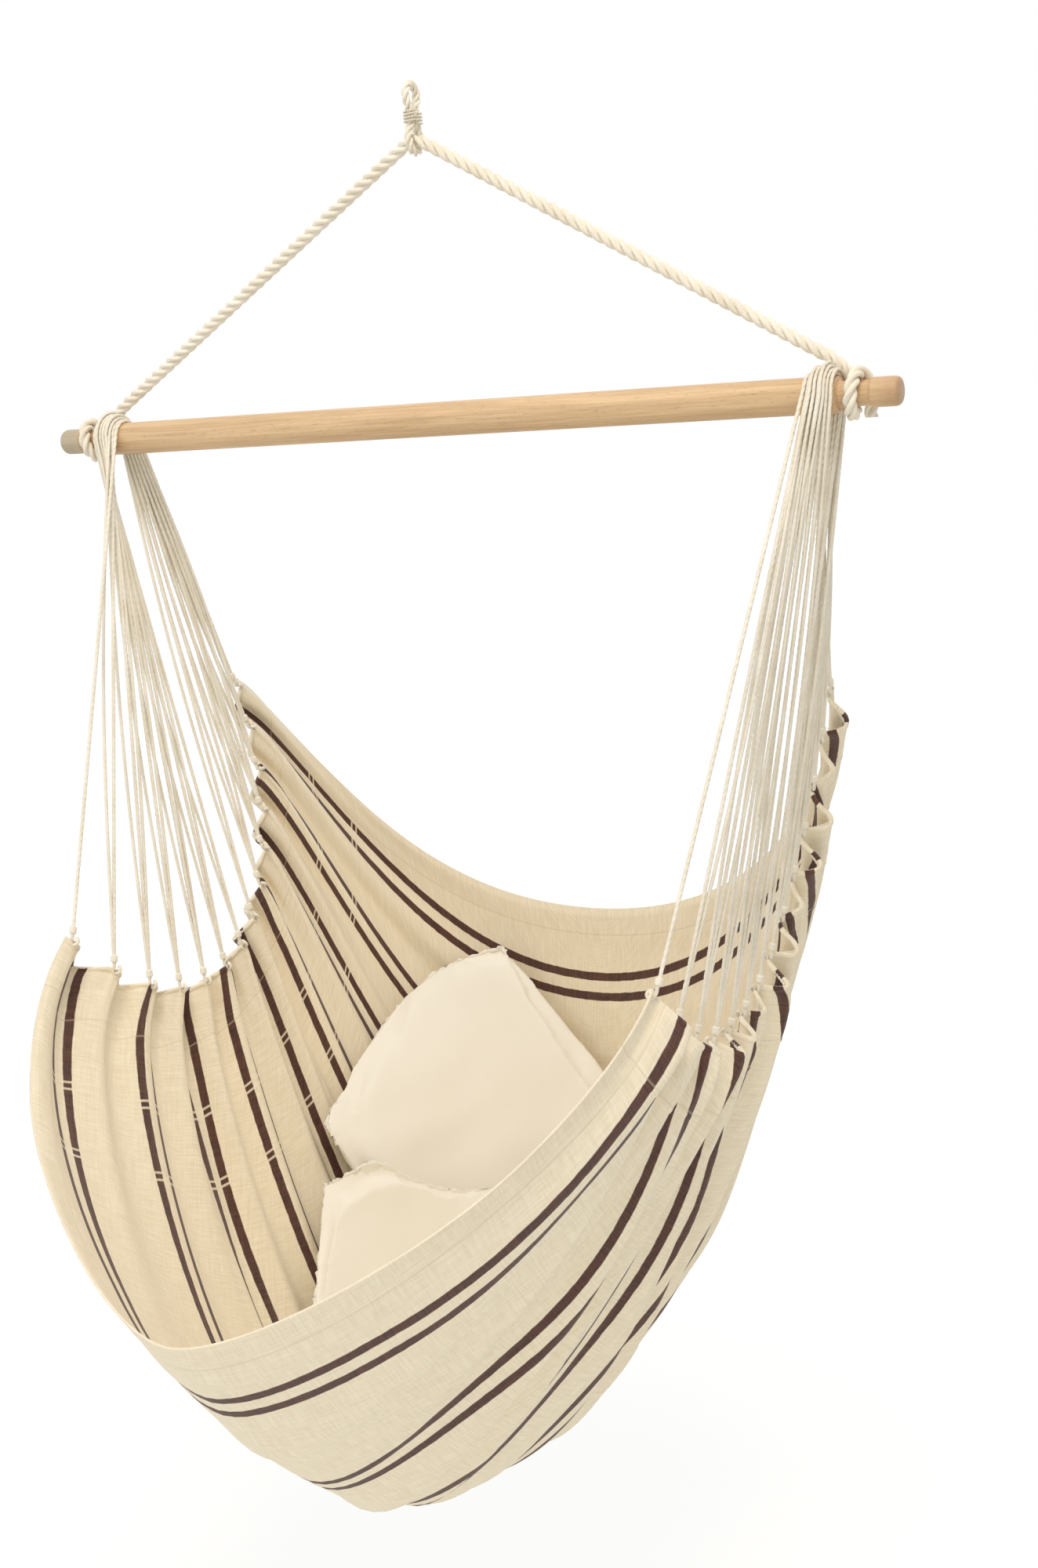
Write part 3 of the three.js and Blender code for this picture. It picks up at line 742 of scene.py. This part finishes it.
# For each soft ridge its start along the cloth, lean, width, height, middle across the cloth and reach
# across it: first the fine creases, then the wide swoops that cross the right half of the cloth.
crease_ranges = [
    [(-0.09, 0.09), (-0.12, -0.03)],
    [(0.008, 0.022), (0.015, 0.027)],
    [(2, 6.5), (16, 25)],
    [(-0.75, 0.75), (0.25, 0.75)],
    [(0.22, 0.5), (0.3, 0.5)],
]
chance = np.random.default_rng(7)
crease_shapes = [
    np.concatenate([chance.uniform(0.02, 0.98, crease_count), np.linspace(0.1, 0.62, swoop_count)])
]
for fine, swoop in crease_ranges:
    drawn = [chance.uniform(*fine, crease_count), chance.uniform(*swoop, swoop_count)]
    crease_shapes.append(np.concatenate(drawn))
hook_rows = (np.arange(ends_per_side) + cord_margin) / cord_span


def creases(u, v):
    """Long soft ridges. Each is high exp(-((v - start - lean u) / wide)^2) exp(-((u - middle) / long)^2),
    twice as steep on the side of the back hem, and all die away at the side edges by 1 - |u|^8."""
    total = np.zeros(np.broadcast(u, v).shape)
    for start, lean, wide, high, middle, long in zip(*crease_shapes):
        across = (v - start - lean * u) / wide
        across = np.where(across > 0, across * 2, across)
        total += high * np.exp(-(across**2)) * np.exp(-(((u - middle) / long) ** 2))
    return total * (1 - np.abs(u) ** 8)


def folded(u, v):
    """The cloth's middle layer: the smooth sheet, standing out by the folds and by the creases. It
    starts above the edge cord by the radius of the rolled edge."""
    side = np.where(u < 0, -1.0, 1.0)
    fade = np.maximum((np.abs(u) - fold_end) / (1 - fold_end), 0) ** fold_fade
    wave = fold_wave(v)
    height = wave * (1 + fold_vary * np.sin(cord_span * v * 2))
    place = sheet(u, v)
    halfway = np.exp(-(((np.abs(u) - long_fold_middle) / long_fold_reach) ** 2))
    long_fold = long_fold_height * wave * halfway * (0.6 + 0.4 * np.sin(9 * v + 2 * side))
    stands_out = fade * height * fold_depth + long_fold + creases(u, v)
    place = place + outward(u, v) * stands_out[..., None]
    return place + down_from(side, v) * (fade * (height * fold_sag - roll_radius))[..., None]


# The rows of the grid lie closer at the hooks and at the seams of the end hems. The columns lie at
# fixed lengths from the side edge as far as the side hem's seam, and are shared out evenly over the
# rest. At a hook the first columns start lower, which leaves a notch for the cord.
hem_share = 0.021
near_from = 0.024
even_from = 0.0255
row_count = 236
hem_rows = np.array([0, 0.3, 0.6, 0.9, 0.97, 1.0, 1.03, 1.1]) * hem_share
at_hook = np.array([-2.4, -1.5, -1, -0.5, 0, 0.5, 1, 1.5, 2.4]) * notch_share
near_hook = (hook_rows[:, None] + at_hook).ravel()
near_hook = near_hook[(near_hook > near_from) & (near_hook < 1 - near_from)]
even_rows = np.linspace(even_from, 1 - even_from, row_count)
even_rows = even_rows[np.abs(even_rows[:, None] - hook_rows).min(axis=1) > notch_share * 2.8]
rows = np.sort(np.concatenate([hem_rows, 1 - hem_rows, near_hook, even_rows]))
from_hook = np.abs(rows[:, None] - hook_rows).min(axis=1)
notch = np.exp(-((from_hook / notch_share) ** 2))[:, None]
dense = np.concatenate([np.linspace(0, 0.1, 60), np.linspace(0.1, 1, 140)[1:]])
from_edge = sheet(1 - dense[None], rows[:, None])
steps_down = np.diff(from_edge, axis=1, prepend=from_edge[:, :1])
reach_down = np.cumsum(np.linalg.norm(steps_down, axis=2), axis=1)
hem_columns = np.array([0, 0.6, 1.5, 3, 4.5, 5.4, 6, 8, 14, 24, 36, 48, 58, 68, 73.5, 75, 76.5, 82, 92])
rest = np.linspace(0, 1, 40)[1:]
half_run = reach_down[:, -1:]
lowered = notch * notch_depth + hem_columns[None] * (1 - notch * notch_depth / hem_columns[-1])
wanted = np.concatenate([lowered, hem_columns[-1] + (half_run - hem_columns[-1]) * rest], axis=1)
depth = np.stack([np.interp(wanted[k], reach_down[k], dense) for k in range(len(rows))])
u_grid = np.concatenate([depth - 1, (1 - depth)[:, -2::-1]], axis=1)
edge_distance = np.concatenate([wanted, wanted[:, -2::-1]], axis=1)
v_grid = np.broadcast_to(rows[:, None], u_grid.shape)
middle_layer = folded(u_grid, v_grid)
facing = unit(np.cross(np.gradient(middle_layer, axis=0), np.gradient(middle_layer, axis=1)))
facing *= np.sign((facing * outward(u_grid, v_grid)).sum(axis=2, keepdims=True))

# The gathers: between two hooks the hem is drawn together in three small, uneven pleats.
gather_reach = 20
gather_depth = 3.2
gather = edge_distance / gather_reach
pleat_angle = cord_span * v_grid * 6 * math.pi + 1.2 * np.sin(31 * v_grid)
pleat = gather_depth * gather * np.exp(1 - gather) * np.sin(pleat_angle)
middle_layer = middle_layer + facing * (pleat * (1 - notch))[..., None]

# Lengths along the cloth from the front hem, which place the stripes and the seams of the end hems.
# Under the right fan the stripes bow away from the front hem, where the cloth sags between its folds.
steps_along = np.diff(middle_layer, axis=0, prepend=middle_layer[:1])
down_cloth = np.cumsum(np.linalg.norm(steps_along, axis=2), axis=0)
stripe_pairs = 9
first_pair = 0.049
bow_share = 0.045
bow_middle = 0.6
bow_reach = 0.27
pair_places = (np.arange(stripe_pairs) + 0.5) / stripe_pairs
pair_places[0] = first_pair
u_column = u_grid[len(rows) // 2]
bow = bow_share * np.exp(-(((u_column - bow_middle) / bow_reach) ** 2))
at_pair = []
for share, column in zip(bow, down_cloth.T):
    bowed = pair_places + share * np.sin(math.pi * pair_places)
    at_pair.append(np.interp(bowed, rows, column))
at_pair = np.stack(at_pair, axis=1)
stripe_distance = np.abs(down_cloth[:, None] - at_pair[None]).min(axis=1)
end_distance = np.minimum(down_cloth, down_cloth[-1:] - down_cloth)


def step(value, at, width):
    """0 below the place, 1 above it, with a smooth rise of that width."""
    t = np.clip((value - at) / width + 0.5, 0, 1)
    return t * t * (3 - 2 * t)


seam_width = 3
side_seam_inset = 6
end_seam_inset = 5
seam_sunk_outside = 0.6
seam_sunk_inside = 0.3
side_folded = 1 - step(edge_distance, side_hem, seam_width)
hemmed = np.maximum(side_folded, 1 - step(end_distance, end_hem, seam_width))
side_sewn = np.exp(-(((edge_distance - side_hem + side_seam_inset) / seam_width) ** 2))
sewn = side_sewn + np.exp(-(((end_distance - end_hem + end_seam_inset) / seam_width) ** 2))
columns_here = np.concatenate([hem_columns, np.full(len(rest), hem_columns[-1])])
columns_here = np.concatenate([columns_here, columns_here[-2::-1]])[None]
roll = np.sqrt(np.maximum(roll_radius**2 - (columns_here - roll_radius) ** 2, 0)) * (1 - notch)
outer_half = np.maximum(cloth_thickness / 2 + hemmed * hem_step - sewn * seam_sunk_outside, roll)
inner_half = np.maximum(cloth_thickness / 2 - sewn * seam_sunk_inside, roll)
outer = middle_layer + facing * outer_half[..., None]
inner = middle_layer - facing * inner_half[..., None]


def shell(name, outer, inner, corners_of, **marks):
    """A closed skin over two layers of one grid, joined round the rim."""
    count, across = outer.shape[:2]
    ids = np.arange(count * across).reshape(count, across)
    front = np.stack([ids[:-1, :-1], ids[:-1, 1:], ids[1:, 1:], ids[1:, :-1]], axis=2).reshape(-1, 4)
    behind = front[:, ::-1] + count * across
    rim = np.concatenate([ids[0, :-1], ids[:-1, -1], ids[-1, :0:-1], ids[:0:-1, 0]])
    after = np.roll(rim, -1)
    edge = np.stack([rim, rim + count * across, after + count * across, after], axis=1)
    faces = np.concatenate([front, behind, edge])
    points = np.concatenate([outer.reshape(-1, 3), inner.reshape(-1, 3)])
    doubled = {mark: np.tile(np.asarray(values).ravel(), 2) for mark, values in marks.items()}
    own = np.tile(corners_of.reshape(-1, 2), (2, 1))
    made = put_mesh(name, points, faces.tolist(), own[faces.ravel()], **doubled)
    work = bmesh.new()
    work.from_mesh(made.data)
    bmesh.ops.recalc_face_normals(work, faces=work.faces)
    work.to_mesh(made.data)
    work.free()
    return made


from_middle = (half_run - edge_distance) * np.sign(u_grid)
on_cloth = np.stack([from_middle, down_cloth], axis=2) / 1000
marks = {"stripe_mm": stripe_distance, "edge_mm": edge_distance, "end_mm": end_distance}
cloth = shell("hammock_cloth_sewn", outer, inner, on_cloth, **marks)
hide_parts("hammock_cloth")
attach(cloth, "seat")

# Striped cotton: cream weave with pairs of dark brown stripes, each 12 mm wide, their middles 28 mm
# apart. Light weft threads cross them in two rows near the left side hem. The weave is drawn with
# threads 1.6 mm wide, coarser than the real ones, so that it shows. It is matt, with soft slubs.
striped_cotton, tree, shader = finish_of("striped_cotton_weave")
stripe_half_width = 5.8
stripe_from_pair = 14.0
stripe_wobble = 2.2
thread_millimetres = 1.6
weft_from_edge = 200
weft_row_offset = 45
weft_thread_offset = 4.5
stripe_at = add(tree, "ShaderNodeAttribute", attribute_name="stripe_mm").outputs["Fac"]
edge_at = add(tree, "ShaderNodeAttribute", attribute_name="edge_mm").outputs["Fac"]
end_at = add(tree, "ShaderNodeAttribute", attribute_name="end_mm").outputs["Fac"]
own = add(tree, "ShaderNodeUVMap", uv_map="own").outputs["UV"]
wobble = streaks(tree, own, [60, 60, 1], Detail=3)
inputs = {0: wobble, 1: stripe_wobble, 2: stripe_at}
wavy = add(tree, "ShaderNodeMath", inputs, operation="MULTIPLY_ADD")
from_pair = away_from(tree, wavy.outputs[0], stripe_wobble / 2)
from_stripe = away_from(tree, from_pair, stripe_from_pair)
edges = {"From Min": stripe_half_width + 0.5, "From Max": stripe_half_width - 0.5}
striped = add(tree, "ShaderNodeMapRange", {"Value": from_stripe, **edges})
from_row = away_from(tree, away_from(tree, edge_at, weft_from_edge), weft_row_offset)
from_thread = away_from(tree, from_row, weft_thread_offset)
inputs = {"Value": from_thread, "From Min": 1.9, "From Max": 1.1, "To Max": 0.75}
weft_light = add(tree, "ShaderNodeMapRange", inputs)
on_sheet = add(tree, "ShaderNodeSeparateXYZ", {0: own})
left_half = add(tree, "ShaderNodeMath", {0: on_sheet.outputs["X"], 1: 0}, operation="LESS_THAN")
inputs = {0: weft_light.outputs[0], 1: left_half.outputs[0]}
weft_seen = add(tree, "ShaderNodeMath", inputs, operation="MULTIPLY")
unhidden = add(tree, "ShaderNodeMath", {0: 1, 1: weft_seen.outputs[0]}, operation="SUBTRACT")
inputs = {0: striped.outputs[0], 1: unhidden.outputs[0]}
seen_stripe = add(tree, "ShaderNodeMath", inputs, operation="MULTIPLY")
slub = streaks(tree, own, [26, 420, 1], Detail=4, Roughness=0.6)
cross = streaks(tree, own, [420, 30, 1], Detail=3)
slubs = add(tree, "ShaderNodeMath", {0: slub, 1: cross}, operation="ADD")
cream = shaded(tree, linear("#E6D7B9"), slubs.outputs[0], 0.75, 1.25, 1, "#F4E8CE")
brown = shaded(tree, linear("#3A1D13"), slubs.outputs[0], 0.75, 1.25, 1, "#5E3827")
inputs = {"Factor": seen_stripe.outputs[0], 6: cream, 7: brown}
dyed = add(tree, "ShaderNodeMix", inputs, data_type="RGBA").outputs[2]
side_seam = away_from(tree, edge_at, side_hem - side_seam_inset)
end_seam = away_from(tree, end_at, end_hem - end_seam_inset)
seam = add(tree, "ShaderNodeMath", {0: side_seam, 1: end_seam}, operation="MINIMUM")
colour = shaded(tree, dyed, seam.outputs[0], 1.6, 0.5, 0.35, "#CDBD9C")
threads = add(tree, "ShaderNodeMapping", {"Vector": own, "Scale": [1000 / thread_millimetres] * 3})
weave = add(tree, "ShaderNodeTexChecker", {"Vector": threads.outputs["Vector"], "Scale": 1})
inputs = {0: weave.outputs["Fac"], 1: 0.5, 2: slubs.outputs[0]}
height = add(tree, "ShaderNodeMath", inputs, operation="MULTIPLY_ADD")
relief = (height.outputs[0], 0.35, 0.0005)
dress(tree, shader, colour, relief, {"Roughness": 0.95, "Sheen Weight": 0.15, "Sheen Roughness": 0.7})
cloth.data.materials.append(striped_cotton)

# The two cushions: square covers of plain cotton weave, loosely filled, that lie in the cloth and take
# its curve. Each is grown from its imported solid, which is pressed outwards from within as a cloth
# simulation, and the cover is puckered along its seam.
voxel_millimetres = 6
smooth_passes = 28
cover_steps = 20
pucker_reach = 34
pucker_depth = 3.4
soft_depth = 3.2


def welded(mesh):
    """A working copy of a mesh, with the points that lie in one place made one."""
    work = bmesh.new()
    work.from_mesh(mesh)
    bmesh.ops.remove_doubles(work, verts=work.verts, dist=1e-5)
    return work


def rows_of(mesh, kind):
    """The places ("co") or normals ("normal") of a mesh's points, as rows of three numbers."""
    values = np.zeros(len(mesh.vertices) * 3)
    mesh.vertices.foreach_get(kind, values)
    return values.reshape(-1, 3)


def evaluated(made):
    """The mesh of an object with its modifiers applied."""
    depsgraph = bpy.context.evaluated_depsgraph_get()
    return bpy.data.meshes.new_from_object(made.evaluated_get(depsgraph))


def seam_of(source):
    """Places along a cushion's seam: eight on each edge of its solid where two faces meet sharply,
    at the rim where the upper and lower covers join. Without such an edge it is one place far off."""
    work = welded(source.data)
    sharp = [e for e in work.edges if len(e.link_faces) == 2 and e.calc_face_angle(0) > 0.9]
    found = np.array([[*e.verts[0].co, *e.verts[1].co] for e in sharp])
    work.free()
    if not len(found):
        return np.zeros((1, 3)) + 9
    t = np.linspace(0, 1, 8)[None, :, None]
    return (found[:, None, :3] * (1 - t) + found[:, None, 3:] * t).reshape(-1, 3)


def stuffed(name, node, body, swell):
    """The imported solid, meshed again in cells of one size, shrunk by its swelling and blown up as
    cloth. No point moves further than the swelling, so the cover stays in the solid's space. It is
    drawn in by ripples along the seam, high exp(-(d / reach)^2), and by soft hollows elsewhere."""
    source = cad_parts[node]
    mesh = source.data.copy()
    work = welded(mesh)
    work.to_mesh(mesh)
    work.free()
    made = placed(name, mesh)
    remesh = made.modifiers.new("remesh", "REMESH")
    remesh.mode = "VOXEL"
    remesh.voxel_size = voxel_millimetres / 1000
    remesh.use_smooth_shade = True
    smooth = made.modifiers.new("smooth", "SMOOTH")
    smooth.factor = 0.5
    smooth.iterations = smooth_passes
    made_mesh = evaluated(made)
    made.modifiers.clear()
    made.data = made_mesh
    made_mesh.name = name
    rest = rows_of(made_mesh, "co")
    rest = rest - rows_of(made_mesh, "normal") * swell / 1000
    made_mesh.vertices.foreach_set("co", rest.ravel())
    moved = rest
    cloth_sim = made.modifiers.new("cover", "CLOTH")
    cloth_sim.settings.use_pressure = True
    cloth_sim.settings.uniform_pressure_force = 4
    cloth_sim.settings.tension_stiffness = 15
    cloth_sim.settings.bending_stiffness = 0.5
    cloth_sim.settings.effector_weights.gravity = 0
    cloth_sim.point_cache.frame_start = 1
    cloth_sim.point_cache.frame_end = cover_steps
    for step_number in range(1, cover_steps + 1):
        bpy.context.scene.frame_set(step_number)
    moved = rows_of(evaluated(made), "co")
    made.modifiers.clear()
    bpy.context.scene.frame_set(1)
    shift = moved - rest
    far = np.linalg.norm(shift, axis=1, keepdims=True)
    shift *= np.minimum(1, swell / 1000 / np.maximum(far, 1e-9))
    points = rest + shift
    made_mesh.vertices.foreach_set("co", points.ravel())
    made_mesh.update()
    normals = rows_of(made_mesh, "normal")
    away = np.linalg.norm(points[:, None] - seam_of(source)[None], axis=2)
    nearest_seam = away.argmin(axis=1)
    near = np.exp(-((away.min(axis=1) / (pucker_reach / 1000)) ** 2))
    ripple = np.sin(nearest_seam * 1.9) * np.sin(nearest_seam * 0.61 + 1)
    x, y, z = points.T
    soft = np.sin(x * 46 + 3 * np.sin(z * 17)) * np.sin(y * 39 + 2 * np.sin(x * 21))
    puckers = (1 - ripple) / 2 * near * pucker_depth
    inwards = puckers + (1 - soft) / 2 * (1 - near) * soft_depth
    points = points - normals * (inwards / 1000)[:, None]
    made_mesh.vertices.foreach_set("co", points.ravel())
    made_mesh.polygons.foreach_set("use_smooth", np.ones(len(made_mesh.polygons), bool))
    made_mesh.update()
    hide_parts(node)
    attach(made, body)
    return made


seat_cushion = stuffed("seat_cushion_stuffed", "seat_cushion", "seat_cushion", swell=9)
back_cushion = stuffed("back_cushion_stuffed", "back_cushion", "back_cushion", swell=8)

# Plain cotton weave, a shade greyer than the striped cloth. Threads are drawn 2 mm wide in the
# piece's own space, with slubs along both directions and a faint mottle from the filling.
plain_cotton, tree, shader = finish_of("plain_cotton_weave")
place = add(tree, "ShaderNodeTexCoord").outputs["Object"]
turned = add(tree, "ShaderNodeMapping", {"Vector": place, "Rotation": [0.5, 0.2, 0.7]})
slub = streaks(tree, turned.outputs["Vector"], [30, 480, 480], Detail=4)
cross = streaks(tree, turned.outputs["Vector"], [480, 30, 480], Detail=4)
slubs = add(tree, "ShaderNodeMath", {0: slub, 1: cross}, operation="ADD")
mottle = add(tree, "ShaderNodeTexNoise", {"Vector": place, "Scale": 9, "Detail": 3})
inputs = {0: mottle.outputs["Fac"], 1: 0.6, 2: slubs.outputs[0]}
mottled = add(tree, "ShaderNodeMath", inputs, operation="MULTIPLY_ADD")
colour = shaded(tree, linear("#CDBC9D"), mottled.outputs[0], 0.95, 1.65, 1, "#EADDC3")
relief = (slubs.outputs[0], 0.7, 0.0009)
dress(tree, shader, colour, relief, {"Roughness": 0.95, "Sheen Weight": 0.2, "Sheen Roughness": 0.7})
for piece in [seat_cushion, back_cushion]:
    piece.data.materials.append(plain_cotton)

# The room: a plain pale floor under the chair, a white surround that lights the chair at 0.7 of the
# strength it is seen at, and soft lamps, the key lamp high in front and to the right. The floor's glow
# makes it white to the eye, grows with the distance from the chair and leaves the soft shadow.
floor_height = -2.05
floor_mesh = bpy.data.meshes.new("floor")
floor_half = 60
floor_corners = [
    [x * floor_half, y * floor_half, floor_height] for x, y in [(-1, -1), (1, -1), (1, 1), (-1, 1)]
]
floor_mesh.from_pydata(floor_corners, [], [[0, 1, 2, 3]])
floor = placed("floor", floor_mesh)
pale_floor, tree, shader = finish_of("pale_floor")
shader.inputs["Base Color"].default_value = linear("#ECECE8")
shader.inputs["Roughness"].default_value = 0.9
seen = seen_by(tree, ["Is Camera Ray", "Is Glossy Ray"])
seen = add(tree, "ShaderNodeMath", {0: seen, 1: 0.5}, operation="MULTIPLY")
floor_place = add(tree, "ShaderNodeTexCoord")
reach = add(tree, "ShaderNodeVectorMath", {0: floor_place.outputs["Object"]}, operation="LENGTH")
near_and_far = {"From Min": 2.2, "From Max": 5.4, "To Min": 1.24, "To Max": 1.43}
paler = add(tree, "ShaderNodeMapRange", {"Value": reach.outputs["Value"], **near_and_far})
glow = add(tree, "ShaderNodeEmission", {"Color": [1, 1, 1, 1], "Strength": paler.outputs[0]})
mixed = add(tree, "ShaderNodeMixShader", {0: seen.outputs[0], 1: shader.outputs[0], 2: glow.outputs[0]})
tree.links.new(mixed.outputs[0], tree.nodes["Material Output"].inputs["Surface"])
floor_mesh.materials.append(pale_floor)

world = bpy.data.worlds.new("studio")
world.use_nodes = True
bpy.context.scene.world = world
tree = world.node_tree
seen = seen_by(tree, ["Is Camera Ray", "Is Glossy Ray", "Is Transmission Ray"])
strength = add(tree, "ShaderNodeMapRange", {"Value": seen, "To Min": 0.7, "To Max": 1})
tree.nodes["Background"].inputs["Color"].default_value = [1, 1, 1, 1]
tree.links.new(strength.outputs[0], tree.nodes["Background"].inputs["Strength"])


def lamp(name, place, size, watts, code):
    """A square soft lamp that looks at the middle of the chair."""
    data = bpy.data.lights.new(name, "AREA")
    data.size = size
    data.energy = watts
    data.color = linear(code)[:3]
    made = placed(name, data)
    away = unit(np.array(place, float) - [0, 0, -0.9])
    beside = unit(np.cross([0, 0, 1], away))
    above = np.cross(away, beside)
    turn = [[beside[k], above[k], away[k], place[k]] for k in range(3)]
    made.matrix_world = Matrix(turn + [[0, 0, 0, 1]])


lamp("key", [1.0, -1.9, 2.7], 1.8, 72, "#FFF6EA")
lamp("fill", [-2.6, -2.2, 0.6], 2.2, 20, "#F4F8FF")
lamp("low", [0.9, -3.0, -1.1], 2.0, 9, "#F8FAFF")
lamp("behind", [0.4, 2.4, 1.8], 1.8, 18, "#FFFFFF")

bpy.context.scene.view_settings.view_transform = "Standard"
